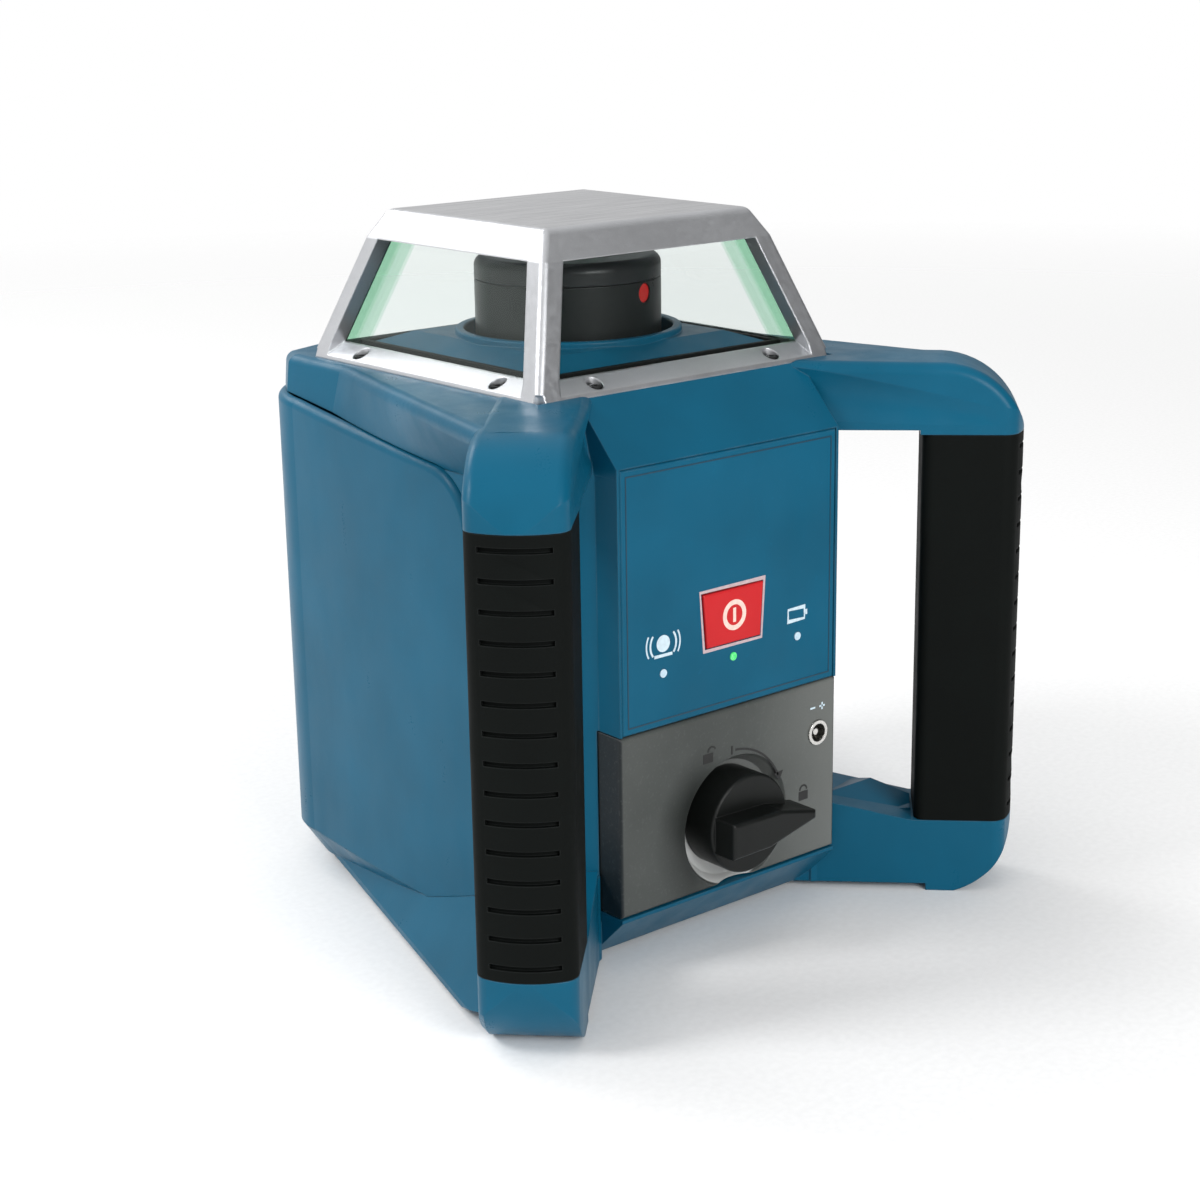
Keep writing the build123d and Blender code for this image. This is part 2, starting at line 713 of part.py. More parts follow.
def lead_motor(x, y, z0, z1, radius, screw_r, screw_top):
    body = disc(x, y, z0, z1, radius)
    return body + disc(x, y, z1, screw_top, screw_r)


def lead_nut(x, y, top, size, height, screw_r):
    nut = block(x - size / 2, x + size / 2, y - size / 2, y + size / 2, top - height, top)
    return nut - disc(x, y, top - height - 1, top + 1, screw_r + 0.08)


# ---------------------------------------------------------------- battery drawer

def battery_bay():
    o = bay_wall
    box = block(-bay_half - o, bay_half + o, bulkhead_y + 2.1, bay_end, bay_low - o, bay_high + o)
    return box - block(-bay_half, bay_half, -60, bay_end - o, bay_low, bay_high)


def bay_contacts():
    made = []
    for x in (-cell_x, cell_x):
        made.append(block(x - 5, x + 5, bay_end - bay_wall - 0.5, bay_end - bay_wall, cell_z - 4, cell_z + 4))
    return made


def drawer_front():
    body = block(-column_half, column_half, column_y, drawer_back, drawer_bottom, drawer_top)
    rim = body.edges().filter_by(lambda e: abs(e.center().Y - column_y) < 0.1)
    body = fillet(rim, 0.9)
    body -= block(-column_half + 2.6, column_half - 2.6, column_y + 8.0, drawer_back + 1, drawer_bottom + 2.6,
                  drawer_top - 2.6)
    dish = Plane(origin=(dish_x, column_y, knob_z - dish_drop), z_dir=(0, 1, 0)).location
    body -= dish * (Pos(0, 0, dish_depth / 2) * Cone(dish_r, dish_r - 2.4, dish_depth))
    body -= dish * (Pos(0, 0, -1) * Cylinder(dish_r, 2))
    body -= rod((0, -70, knob_z), (0, -50, knob_z), 3.05)
    body -= rod((jack_x, -70, jack_z), (jack_x, -50, jack_z), 3.5)
    return body


def drawer_seal():
    y0, y1 = drawer_back, drawer_back + 0.8
    ring = block(-37.6, 37.6, y0, y1, 16.1, 63.8) - block(-36.0, 36.0, y0 - 1, y1 + 1, 17.7, 62.2)
    return ring


def battery_tray():
    tray = block(-tray_half, tray_half, drawer_back + 0.9, tray_end, tray_low, 33)
    tray += block(-tray_half, -tray_half + 1.2, drawer_back + 0.9, tray_end, tray_low, 50)
    tray += block(tray_half - 1.2, tray_half, drawer_back + 0.9, tray_end, tray_low, 50)
    tray += block(-tray_half, tray_half, tray_end - 1.6, tray_end, tray_low, 58)
    for x in (-cell_x, cell_x):
        tray -= rod((x, cell_start - 0.3, cell_z), (x, cell_start + cell_length + 1.4, cell_z), cell_r + 0.15)
        tray -= rod((x, 10, cell_z), (x, 30, cell_z), 6)
    tray -= block(-34, 34, -60, cell_start - 0.3, 20, 70)
    tray += block(-34.2, 34.2, -49.2, -48.4, 19.9, 56)
    return tray


def cell(x, front_positive):
    body = rod((x, cell_start, cell_z), (x, cell_start + cell_length - 1.5, cell_z), cell_r)
    nub = rod((x, cell_start + cell_length - 1.5, cell_z), (x, cell_start + cell_length, cell_z), 4.6)
    made = body + nub
    if front_positive:
        made = Pos(0, 2 * cell_start + cell_length, 0) * Pos(2 * x, 0, 0) * Rot(0, 0, 180) * made
    return made


def contact_springs():
    made = []
    for x, y in ((-cell_x, -48.3), (cell_x, 15.9)):
        coil = Helix(pitch=0.7, height=0.7, radius=5)
        wire = Plane(origin=coil @ 0, z_dir=coil % 0) * Circle(0.3)
        spring = sweep(wire, path=coil)
        made.append(Pos(x, y + 0.4, cell_z) * Rot(-90, 0, 0) * spring)
    return made


def charge_jack():
    body = rod((jack_x, column_y - 0.5, jack_z), (jack_x, -53.5, jack_z), 3.45)
    body -= rod((jack_x, column_y - 2, jack_z), (jack_x, -55, jack_z), 2.5)
    return body + rod((jack_x, column_y + 0.6, jack_z), (jack_x, -54, jack_z), 0.9)


def lock_knob():
    disc_part = rod((0, column_y + 3.7, knob_z), (0, knob_face, knob_z), knob_r)
    rim = disc_part.edges().filter_by(lambda e: abs(e.center().Y - knob_face) < 0.1)
    disc_part = fillet(rim, 0.8)
    bar_points = [(-12.2, knob_z - 5.2), (1.0, knob_z - 5.0), (17.4, knob_z - 1.0), (17.4, knob_z + 1.3),
                  (5.0, knob_z + 4.2), (-12.2, knob_z + 4.6)]
    outline = Polyline(*[(x, bar_face, z) for x, z in bar_points], close=True)
    bar = extrude(make_face(outline), amount=knob_face - bar_face + 3, dir=(0, 1, 0))
    front = bar.edges().filter_by(lambda e: abs(e.center().Y - bar_face) < 0.1)
    bar = fillet(front, 1.0)
    return disc_part + bar - rod((0, -73.5, knob_z), (0, -55, knob_z), 3.0)


def knob_shaft():
    return rod((0, -73.5, knob_z), (0, -51.8, knob_z), 3.0)


def latch_cam():
    front, back = -54.6, -52.6
    plate = rod((0, front, knob_z), (0, back, knob_z), 6)
    plate += block(0, 16, front, back, knob_z - 4, knob_z + 4)
    plate += rod((16, front, knob_z), (16, back, knob_z), 4)
    return plate - rod((0, -60, knob_z), (0, -50, knob_z), 3.0)


def shaft_clip():
    ring = rod((0, -52.5, knob_z), (0, -51.9, knob_z), 5) - rod((0, -55, knob_z), (0, -50, knob_z), 3.0)
    return ring - block(-1.5, 1.5, -55, -50, knob_z, knob_z + 6)


def tripod_insert():
    body = disc(0, 0, 0, 2, 15) + disc(0, 0, 2, 14.6, 11)
    return body - disc(0, 0, -1, thread_depth, thread_r)


# ---------------------------------------------------------------- write every piece

save("base_frame", base_frame())
save("rear_case", rear_case())
save("front_case", front_case())
save("control_panel", control_panel())
save("collar_plate", collar_plate())
save("guard_frame", guard_frame())
save("guard_gasket", guard_gasket())
save("guard_screws", *guard_screws())
save("base_screws", *base_screws())
save("tripod_insert", tripod_insert())
for name, turn in (("front", 0), ("right", 90), ("back", 180), ("left", 270)):
    save(f"glass_{name}", Rot(0, 0, turn) * glass_pane())
for name, solid in zip(("right", "left"), both_sides(to_handle(handle_core()))):
    save(f"handle_core_{name}", solid)
for name, solid in zip(("right", "left"), both_sides(to_handle(grip()))):
    save(f"grip_{name}", solid)
save("led_lenses", *led_lenses())
save("main_board", main_board())
save("tact_switch", tact_switch())
save("chassis_plate", chassis_plate())
save("battery_bay", battery_bay())
save("bay_contacts", *bay_contacts())
save("gimbal_bracket", *gimbal_bracket())
save("outer_pivot_pins", *outer_pivot_pins())
save("levelling_motor_x", lead_motor(0, nut_x_reach, 68.9, 96, 7, 1.5, 127.4))
save("levelling_nut_x", lead_nut(0, nut_x_reach, pivot_z - 7 - nut_gap, 9, 12, 1.5))

save("power_button", power_button())

save("drawer_front", drawer_front())
save("drawer_seal", drawer_seal())
save("battery_tray", battery_tray())
save("battery_left", cell(-cell_x, False))
save("battery_right", cell(cell_x, True))
save("contact_springs", *contact_springs())
save("charge_jack", charge_jack())

save("lock_knob", lock_knob())
save("knob_shaft", knob_shaft())
save("latch_cam", latch_cam())
save("shaft_clip", shaft_clip())

save("outer_ring", outer_ring())
save("inner_pivot_pins", *inner_pivot_pins())
save("levelling_motor_y", lead_motor(-nut_y_reach, 0, 88, 105.9, 6, 1.2, 128.4))
save("levelling_nut_y", lead_nut(-nut_y_reach, 0, pivot_z - 8 - nut_gap, 8, 9, 1.2))

save("optics_carrier", optics_carrier())
save("laser_module", laser_module())
save("collimator_lens", collimator_lens())
save("vial_cradle", vial_cradle())
save("tilt_vials", *tilt_vials())
save("lower_bearing", bearing(146.2, 150.2))
save("upper_bearing", bearing(154.2, 158.2))
save("spin_motor", spin_motor())
save("drive_belt", drive_belt())
save("motor_pulley", motor_pulley())

save("rotor_hub", rotor_hub())
save("rotor_shell", rotor_shell())
save("rotor_cap", rotor_cap())
save("beam_window", beam_window())
save("prism_mount", prism_mount())
save("beam_prism", beam_prism())
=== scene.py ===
import bpy
import bmesh
from math import cos, hypot, pi, radians, sin
from mathutils import Matrix, Vector


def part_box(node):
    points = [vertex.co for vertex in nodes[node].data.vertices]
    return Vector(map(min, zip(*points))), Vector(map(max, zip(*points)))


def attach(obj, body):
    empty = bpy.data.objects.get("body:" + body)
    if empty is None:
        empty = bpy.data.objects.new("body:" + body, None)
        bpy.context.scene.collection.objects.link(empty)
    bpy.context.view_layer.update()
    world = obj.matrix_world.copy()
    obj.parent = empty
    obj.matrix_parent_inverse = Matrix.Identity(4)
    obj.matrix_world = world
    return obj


# The looks of the rotating laser level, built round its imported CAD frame. Metres, row frame.

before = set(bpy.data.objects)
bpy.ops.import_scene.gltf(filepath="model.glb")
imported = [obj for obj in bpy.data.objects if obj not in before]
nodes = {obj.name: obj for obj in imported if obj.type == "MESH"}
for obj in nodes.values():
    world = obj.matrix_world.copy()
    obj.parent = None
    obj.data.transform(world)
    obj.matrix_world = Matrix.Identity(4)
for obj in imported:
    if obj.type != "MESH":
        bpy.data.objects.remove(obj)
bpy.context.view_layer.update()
MM = 0.001

# Places read from the frame
panel_low, panel_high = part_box("control_panel")
panel_y = panel_low.y
drawer_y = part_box("drawer_front")[0].y
key_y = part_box("power_button")[0].y
shaft_low, shaft_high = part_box("knob_shaft")
knob_x = (shaft_low.x + shaft_high.x) / 2
knob_z = (shaft_low.z + shaft_high.z) / 2
dish_centre = (knob_x, drawer_y, knob_z - 1.6 * MM)

# Values shared by materials and marks, and places where a material changes
print_height = 0.08 * MM
print_sunk = 0.02 * MM
worn_lift = 0.10
glass_ior = 1.5
guard_flat_z = (186.0 * MM, 187.2 * MM)
pane_end = (5.4 * MM, 4.8 * MM)
battery_band_y = (-32 * MM, -31.8 * MM)
board_face_depth = 1.65 * MM
# painted shade: across this span of x the drawer's sides are painted near black
drawer_side_shade_x = (37.2 * MM, 37.6 * MM)
# painted reflection: across this span of x the drawer face is painted paler towards its right
drawer_reflection_x = (8 * MM, 37 * MM)


# ---------------------------------------------------------------- node material helpers

class Graph:
    """A node tree with one Principled shader, and short calls that add the usual detail."""

    def __init__(self, name):
        self.material = bpy.data.materials.new(name)
        self.material.use_nodes = True
        self.tree = self.material.node_tree
        self.tree.nodes.clear()
        self.out = self.add("ShaderNodeOutputMaterial")
        self.shader = self.add("ShaderNodeBsdfPrincipled")
        self.link(self.shader.outputs[0], self.out.inputs[0])
        self.place = self.add("ShaderNodeTexCoord").outputs["Object"]

    def add(self, kind, **settings):
        node = self.tree.nodes.new(kind)
        for key, value in settings.items():
            setattr(node, key, value)
        return node

    def link(self, source, target):
        self.tree.links.new(source, target)

    def put(self, target, value):
        if hasattr(value, "is_linked"):
            self.link(value, target)
        else:
            target.default_value = value

    def set(self, socket, value):
        self.put(self.shader.inputs[socket], value)

    def math(self, operation, a, b=0.0, clamp=False):
        node = self.add("ShaderNodeMath", operation=operation, use_clamp=clamp)
        self.put(node.inputs[0], a)
        self.put(node.inputs[1], b)
        return node.outputs[0]

    def noise(self, size, detail, stretch=(1, 1, 1)):
        """Noise whose features are about size metres across, drawn out along an axis by stretch."""
        mapping = self.add("ShaderNodeMapping")
        self.link(self.place, mapping.inputs[0])
        mapping.inputs["Scale"].default_value = [1 / s for s in stretch]
        node = self.add("ShaderNodeTexNoise")
        self.link(mapping.outputs[0], node.inputs["Vector"])
        node.inputs["Scale"].default_value = 1 / size
        node.inputs["Detail"].default_value = detail
        return node.outputs[0]

    def ramp(self, value, low, high, a=0.0, b=1.0):
        node = self.add("ShaderNodeMapRange", clamp=True)
        self.put(node.inputs[0], value)
        for index, number in enumerate((low, high, a, b), 1):
            node.inputs[index].default_value = number
        return node.outputs[0]

    def mix(self, share, a, b):
        node = self.add("ShaderNodeMix", data_type="RGBA")
        self.put(node.inputs[0], share)
        self.put(node.inputs[6], a if hasattr(a, "is_linked") else (*a, 1))
        self.put(node.inputs[7], b if hasattr(b, "is_linked") else (*b, 1))
        return node.outputs[2]

    def edges(self, radius):
        """Rounds sharp edges in shading, and returns the rounded normal and a mask of the edges."""
        bevel = self.add("ShaderNodeBevel", samples=4)
        bevel.inputs[0].default_value = radius
        flat = self.add("ShaderNodeNewGeometry").outputs["Normal"]
        dot = self.add("ShaderNodeVectorMath", operation="DOT_PRODUCT")
        self.link(bevel.outputs[0], dot.inputs[0])
        self.link(flat, dot.inputs[1])
        return bevel.outputs[0], self.ramp(dot.outputs["Value"], 0.995, 0.86)

    def bump(self, height, distance, strength, normal=None):
        node = self.add("ShaderNodeBump")
        node.inputs["Strength"].default_value = strength
        node.inputs["Distance"].default_value = distance
        self.link(height, node.inputs["Height"])
        if normal is not None:
            self.link(normal, node.inputs["Normal"])
        return node.outputs[0]

    def axis(self, index):
        split = self.add("ShaderNodeSeparateXYZ")
        self.link(self.place, split.inputs[0])
        return split.outputs[index]


def shade(colour, factor):
    return tuple(min(1.0, c * factor) for c in colour)


def moulded(name, colour, rough, grain=0.5 * MM, wear=0.35, gloss=0.3, mottle=0.10):
    """Moulded or painted surface: fine grain, cloudy colour, handling marks and paler worn edges."""
    g = Graph(name)
    normal, edge_mask = g.edges(0.5 * MM)
    cloud = g.noise(30 * MM, 3)
    smear = g.noise(9 * MM, 4, (1, 1, 2.5))
    fine = g.noise(grain, 2)
    speck = g.ramp(g.noise(1.3 * MM, 3), 0.66, 0.74)
    base = g.mix(g.ramp(cloud, 0.3, 0.7), shade(colour, 1 - mottle), shade(colour, 1 + mottle))
    base = g.mix(g.math("MULTIPLY", speck, 0.10), base, shade(colour, 1.9))
    rub = g.math("MULTIPLY", edge_mask, g.ramp(smear, 0.42, 0.62, 0.25, 1.0))
    base = g.mix(g.math("MULTIPLY", rub, wear), base, tuple(0.8 * c + worn_lift for c in colour))
    g.set("Base Color", base)
    roughness = g.ramp(smear, 0.3, 0.7, rough - 0.06, rough + 0.08)
    roughness = g.math("ADD", roughness, g.math("MULTIPLY", fine, 0.08))
    g.set("Roughness", g.math("SUBTRACT", roughness, g.math("MULTIPLY", rub, 0.08), True))
    g.shader.inputs["Specular IOR Level"].default_value = gloss
    g.set("Normal", g.bump(fine, 0.02 * MM, 0.5, normal))
    return g.material


def brushed(name, colour, rough, along, metal=1.0):
    """Machined or brushed metal with lines drawn out along one axis, stains and bright edges."""
    g = Graph(name)
    normal, edge_mask = g.edges(0.2 * MM)
    lines = g.noise(0.35 * MM, 3, along)
    stain = g.noise(12 * MM, 3)
    base = g.mix(g.ramp(lines, 0.3, 0.7), shade(colour, 0.86), shade(colour, 1.08))
    base = g.mix(g.math("MULTIPLY", g.ramp(stain, 0.5, 0.75), 0.25), base, shade(colour, 0.62))
    base = g.mix(g.math("MULTIPLY", edge_mask, 0.4), base, shade(colour, 1.3))
    g.set("Base Color", base)
    g.set("Metallic", metal)
    g.set("Roughness", g.math("ADD", g.ramp(lines, 0.2, 0.8, rough - 0.07, rough + 0.09),
                              g.math("MULTIPLY", stain, 0.1)))
    g.set("Normal", g.bump(lines, 0.01 * MM, 0.5, normal))
    return g.material


def rubber(name, colour, rough=0.62):
    """Moulded rubber: leathery micro grain, dusty patches, and edges rubbed smooth and paler, the paler tone
    partly a painted highlight.
    """
    g = Graph(name)
    normal, edge_mask = g.edges(0.4 * MM)
    cells = g.add("ShaderNodeTexVoronoi", feature="SMOOTH_F1")
    g.link(g.place, cells.inputs["Vector"])
    cells.inputs["Scale"].default_value = 1 / (0.7 * MM)
    fine = g.noise(0.3 * MM, 2)
    dust = g.ramp(g.noise(14 * MM, 4), 0.45, 0.75)
    height = g.math("ADD", g.math("MULTIPLY", cells.outputs["Distance"], 0.7), g.math("MULTIPLY", fine, 0.5))
    base = g.mix(g.math("MULTIPLY", dust, 0.5), colour, shade(colour, 1.7))
    # pale edges: partly rubbed wear, partly a painted highlight along the edges
    base = g.mix(g.math("MULTIPLY", edge_mask, 0.5), base, (0.030, 0.034, 0.033))
    g.set("Base Color", base)
    g.set("Roughness", g.math("SUBTRACT", g.ramp(dust, 0, 1, rough, rough + 0.14),
                              g.math("MULTIPLY", edge_mask, 0.12)))
    g.shader.inputs["Specular IOR Level"].default_value = 0.07
    g.set("Normal", g.bump(height, 0.03 * MM, 0.6, normal))
    return g.material


def silver_paint():
    """Cast guard: silver paint with fine flake, and a brushed grain along the flat top."""
    g = Graph("silver_paint")
    normal, edge_mask = g.edges(0.6 * MM)
    flake = g.noise(0.25 * MM, 1)
    cast = g.noise(1.6 * MM, 3)
    cloud = g.noise(25 * MM, 3)
    lines = g.noise(0.5 * MM, 4, (40, 1, 40))
    up = g.add("ShaderNodeSeparateXYZ")
    g.link(g.add("ShaderNodeNewGeometry").outputs["Normal"], up.inputs[0])
    top = g.math("MULTIPLY", g.ramp(up.outputs[2], 0.97, 0.995), g.ramp(g.axis(2), *guard_flat_z))
    colour = (0.55, 0.56, 0.58)
    base = g.mix(g.ramp(cloud, 0.3, 0.7), shade(colour, 0.93), shade(colour, 1.06))
    base = g.mix(g.math("MULTIPLY", g.ramp(flake, 0.55, 0.7), 0.18), base, (0.80, 0.81, 0.83))
    streak = g.mix(g.ramp(lines, 0.35, 0.65), (0.42, 0.425, 0.44), (0.62, 0.625, 0.64))
    base = g.mix(top, base, streak)
    base = g.mix(g.math("MULTIPLY", edge_mask, 0.35), base, (0.86, 0.87, 0.88))
    g.set("Base Color", base)
    g.set("Metallic", 0.85)
    g.set("Roughness", g.math("ADD", g.ramp(cast, 0.3, 0.7, 0.26, 0.36), g.math("MULTIPLY", flake, 0.06)))
    brushing = g.math("MULTIPLY", g.math("MULTIPLY", lines, top), 0.8)
    height = g.math("ADD", g.math("MULTIPLY", cast, 0.6), brushing)
    g.set("Normal", g.bump(height, 0.03 * MM, 0.45, normal))
    return g.material


def pane_glass():
    """Clear plate glass: nearly invisible faces, a soft reflection, and green at each pane's ends."""
    g = Graph("pane_glass")
    g.tree.nodes.remove(g.shader)
    x, y = g.math("ABSOLUTE", g.axis(0)), g.math("ABSOLUTE", g.axis(1))
    near_end = g.math("ABSOLUTE", g.math("SUBTRACT", x, y))
    end = g.ramp(near_end, *pane_end)
    smear = g.noise(18 * MM, 4, (1, 1, 2))
    tint = g.mix(end, (0.975, 0.99, 0.985), (0.74, 0.88, 0.80))
    clear = g.add("ShaderNodeBsdfTransparent")
    g.link(tint, clear.inputs[0])
    gloss = g.add("ShaderNodeBsdfGlossy")
    gloss.inputs["Color"].default_value = (0.9, 1.0, 0.95, 1)
    g.link(g.ramp(smear, 0.4, 0.8, 0.02, 0.12), gloss.inputs["Roughness"])
    g.link(g.bump(smear, 0.05 * MM, 0.1), gloss.inputs["Normal"])
    fresnel = g.add("ShaderNodeFresnel")
    fresnel.inputs[0].default_value = glass_ior
    outside = g.math("SUBTRACT", 1.0, g.add("ShaderNodeNewGeometry").outputs["Backfacing"])
    share = g.math("MULTIPLY", g.math("MULTIPLY", fresnel.outputs[0], 0.9), outside)
    mix = g.add("ShaderNodeMixShader")
    g.link(share, mix.inputs[0])
    g.link(clear.outputs[0], mix.inputs[1])
    g.link(gloss.outputs[0], mix.inputs[2])
    g.link(mix.outputs[0], g.out.inputs[0])
    return g.material


def clear_optic(name, colour, rough=0.03, through=0.9):
    """A lens, prism, vial or tinted window: solid glass with faint smears."""
    g = Graph(name)
    smear = g.noise(2.5 * MM, 3)
    g.set("Base Color", g.mix(g.ramp(smear, 0.3, 0.7), shade(colour, 0.94), colour))
    g.set("Roughness", g.ramp(smear, 0.3, 0.8, rough, rough + 0.08))
    g.shader.inputs["Transmission Weight"].default_value = through
    g.shader.inputs["IOR"].default_value = glass_ior
    g.set("Normal", g.bump(smear, 0.01 * MM, 0.15))
    return g.material


def lamp_lens():
    """Indicator lenses: the middle one glows green, the outer two are pale and unlit."""
    g = Graph("lamp_lens")
    grain = g.noise(0.5 * MM, 2)
    middle = g.ramp(g.math("ABSOLUTE", g.axis(0)), 6 * MM, 5 * MM)
    base = g.mix(middle, (0.50, 0.66, 0.78), (0.03, 0.42, 0.10))
    g.set("Base Color", g.mix(g.ramp(grain, 0.4, 0.7, 0, 0.2), base, (0.8, 0.9, 0.85)))
    g.set("Roughness", g.ramp(grain, 0.3, 0.7, 0.12, 0.24))
    g.set("Emission Color", (0.05, 0.7, 0.16, 1))
    g.set("Emission Strength", g.math("MULTIPLY", middle, 0.55))
    g.set("Normal", g.bump(grain, 0.02 * MM, 0.3))
    return g.material


def circuit_board():
    """Green board with copper tracks on a coarse grid and black chips standing off it."""
    g = Graph("circuit_board")
    bricks = g.add("ShaderNodeTexBrick")
    turn = g.add("ShaderNodeMapping")
    turn.inputs["Rotation"].default_value = (pi / 2, 0, 0)
    g.link(g.place, turn.inputs[0])
    g.link(turn.outputs[0], bricks.inputs["Vector"])
    bricks.inputs["Scale"].default_value = 160
    bricks.inputs["Mortar Size"].default_value = 0.03
    bricks.inputs["Color1"].default_value = (0.012, 0.11, 0.05, 1)
    bricks.inputs["Color2"].default_value = (0.016, 0.14, 0.06, 1)
    bricks.inputs["Mortar"].default_value = (0.05, 0.26, 0.10, 1)
    board_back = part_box("main_board")[0].y + board_face_depth
    chip = g.ramp(g.axis(1), board_back, board_back + 0.1 * MM)
    fine = g.noise(0.4 * MM, 2)
    g.set("Base Color", g.mix(chip, bricks.outputs[0], (0.02, 0.02, 0.022)))
    g.set("Roughness", g.ramp(fine, 0.3, 0.7, 0.3, 0.45))
    g.set("Normal", g.bump(fine, 0.02 * MM, 0.4))
    return g.material


def drawer_plastic():
    """Dark grey drawer: fine grain, painted reflection paler to the right, painted shade on its sides, a
    painted shadow left of the knob and painted light low in its recess.
    """
    g = Graph("drawer_plastic")
    normal, edge_mask = g.edges(0.5 * MM)
    fine = g.noise(0.45 * MM, 2)
    cloud = g.noise(28 * MM, 3)
    fleck = g.ramp(g.noise(0.8 * MM, 1), 0.60, 0.72)
    dark, mid = (0.050, 0.056, 0.053), (0.072, 0.079, 0.075)
    base = g.mix(g.ramp(cloud, 0.3, 0.7), dark, mid)
    # painted reflection: the face is painted paler from left to right
    base = g.mix(g.ramp(g.axis(0), *drawer_reflection_x, 0.0, 0.55), base, (0.20, 0.21, 0.20))
    # painted shade: the drawer's sides are painted near black
    side = g.ramp(g.math("ABSOLUTE", g.axis(0)), *drawer_side_shade_x)
    base = g.mix(side, base, (0.012, 0.016, 0.018))
    base = g.mix(g.math("MULTIPLY", fleck, 0.10), base, (0.17, 0.18, 0.175))
    base = g.mix(g.math("MULTIPLY", edge_mask, 0.4), base, (0.2, 0.21, 0.21))
    dish = g.ramp(g.axis(1), drawer_y + 1.0 * MM, drawer_y + 1.3 * MM)
    dish = g.math("MULTIPLY", dish, g.ramp(g.math("ABSOLUTE", g.axis(0)), 24 * MM, 23.5 * MM))
    away = g.add("ShaderNodeVectorMath", operation="DISTANCE")
    g.link(g.place, away.inputs[0])
    away.inputs[1].default_value = dish_centre
    # painted shadow: the knob's shadow is painted near black on the face to the knob's left
    knob_shadow = g.math("MULTIPLY", g.ramp(away.outputs["Value"], 27 * MM, 18 * MM),
                   g.ramp(g.axis(0), knob_x - 4 * MM, knob_x - 14 * MM))
    base = g.mix(g.math("MULTIPLY", knob_shadow, 0.80), base, (0.008, 0.010, 0.009))
    # painted light: the lower half of the knob's recess is painted pale, as if lit from above
    painted_light_low_half = g.ramp(g.axis(2), 34 * MM, 26 * MM, 0.1, 1.0)
    base = g.mix(g.math("MULTIPLY", dish, painted_light_low_half), base, (0.55, 0.56, 0.55))
    g.shader.inputs["Specular IOR Level"].default_value = 0.35
    g.set("Base Color", base)
    g.set("Roughness", g.ramp(fine, 0.3, 0.7, 0.36, 0.50))
    g.set("Normal", g.bump(fine, 0.03 * MM, 0.6, normal))
    return g.material


def printed(name, colour):
    """Screen print: flat ink with patchy tone, patchy gloss and a fine grain."""
    g = Graph(name)
    patch = g.noise(1.2 * MM, 3)
    fine = g.noise(0.2 * MM, 1)
    g.set("Base Color", g.mix(g.ramp(patch, 0.35, 0.7), shade(colour, 0.9), shade(colour, 1.06)))
    g.set("Roughness", g.ramp(fine, 0.3, 0.7, 0.35, 0.5))
    g.set("Normal", g.bump(fine, 0.01 * MM, 0.3))
    return g.material


def battery_sleeve():
    """Printed sleeve: dark body, a bright band near one end and fine scuffs."""
    g = Graph("battery_sleeve")
    band = g.ramp(g.axis(1), *battery_band_y)
    scuff = g.ramp(g.noise(3 * MM, 4, (1, 6, 1)), 0.6, 0.75)
    base = g.mix(band, (0.42, 0.30, 0.10), (0.035, 0.04, 0.042))
    g.set("Base Color", g.mix(g.math("MULTIPLY", scuff, 0.25), base, (0.4, 0.4, 0.4)))
    g.set("Metallic", 0.5)
    g.set("Roughness", g.ramp(scuff, 0, 1, 0.24, 0.42))
    g.set("Normal", g.bump(scuff, 0.02 * MM, 0.2))
    return g.material


# ---------------------------------------------------------------- materials of the frame's nodes

# painted shade: the case gets a slightly darker copy of the panel's blue, so its more strongly lit sides
# come out darker
case_plastic = moulded("case_plastic", (0.003, 0.088, 0.158), rough=0.30, wear=0.5, gloss=0.14)
panel_plastic = moulded("panel_plastic", (0.003, 0.094, 0.170), rough=0.34, wear=0.6, gloss=0.14)
key_plastic = moulded("key_plastic", (0.56, 0.010, 0.014), rough=0.36, grain=0.3 * MM, mottle=0.06)
knob_plastic = moulded("knob_plastic", (0.005, 0.006, 0.0055), rough=0.34, wear=0.15, gloss=0.25)
drawer_grain = drawer_plastic()
inner_plastic = moulded("inner_plastic", (0.02, 0.021, 0.022), rough=0.5)
rotor_plastic = moulded("rotor_plastic", (0.008, 0.0095, 0.0095), rough=0.30, grain=0.4 * MM, wear=0.2,
                        gloss=0.25)
rotor_cap_plastic = moulded("rotor_cap_plastic", (0.012, 0.013, 0.014), rough=0.30, grain=0.4 * MM, wear=0.2)
grip_rubber = rubber("grip_rubber", (0.0032, 0.0042, 0.0038))
seal_rubber = rubber("seal_rubber", (0.006, 0.006, 0.006), 0.55)
belt_rubber = rubber("belt_rubber", (0.010, 0.010, 0.010), 0.5)
guard_paint = silver_paint()
glass = pane_glass()
lens_glass = clear_optic("lens_glass", (0.93, 0.97, 0.98))
vial_glass = clear_optic("vial_glass", (0.62, 0.85, 0.30))
red_glass = clear_optic("red_glass", (0.75, 0.02, 0.02), 0.05, 0.35)
lamps = lamp_lens()
board = circuit_board()
sleeve = battery_sleeve()
plate_metal = brushed("plate_metal", (0.60, 0.61, 0.63), 0.34, (12, 1, 1))
turned_steel = brushed("turned_steel", (0.56, 0.56, 0.58), 0.24, (1, 1, 6))
# painted shade: the screw heads are near black, standing in for the shade in their counterbores as well as
# dark steel
screw_steel = brushed("screw_steel", (0.020, 0.021, 0.022), 0.50, (1, 3, 1), metal=0.6)
motor_can = brushed("motor_can", (0.50, 0.51, 0.53), 0.30, (1, 1, 10))
turned_brass = brushed("turned_brass", (0.62, 0.42, 0.16), 0.26, (6, 6, 1))
nickel = brushed("nickel", (0.74, 0.73, 0.70), 0.2, (1, 4, 1))

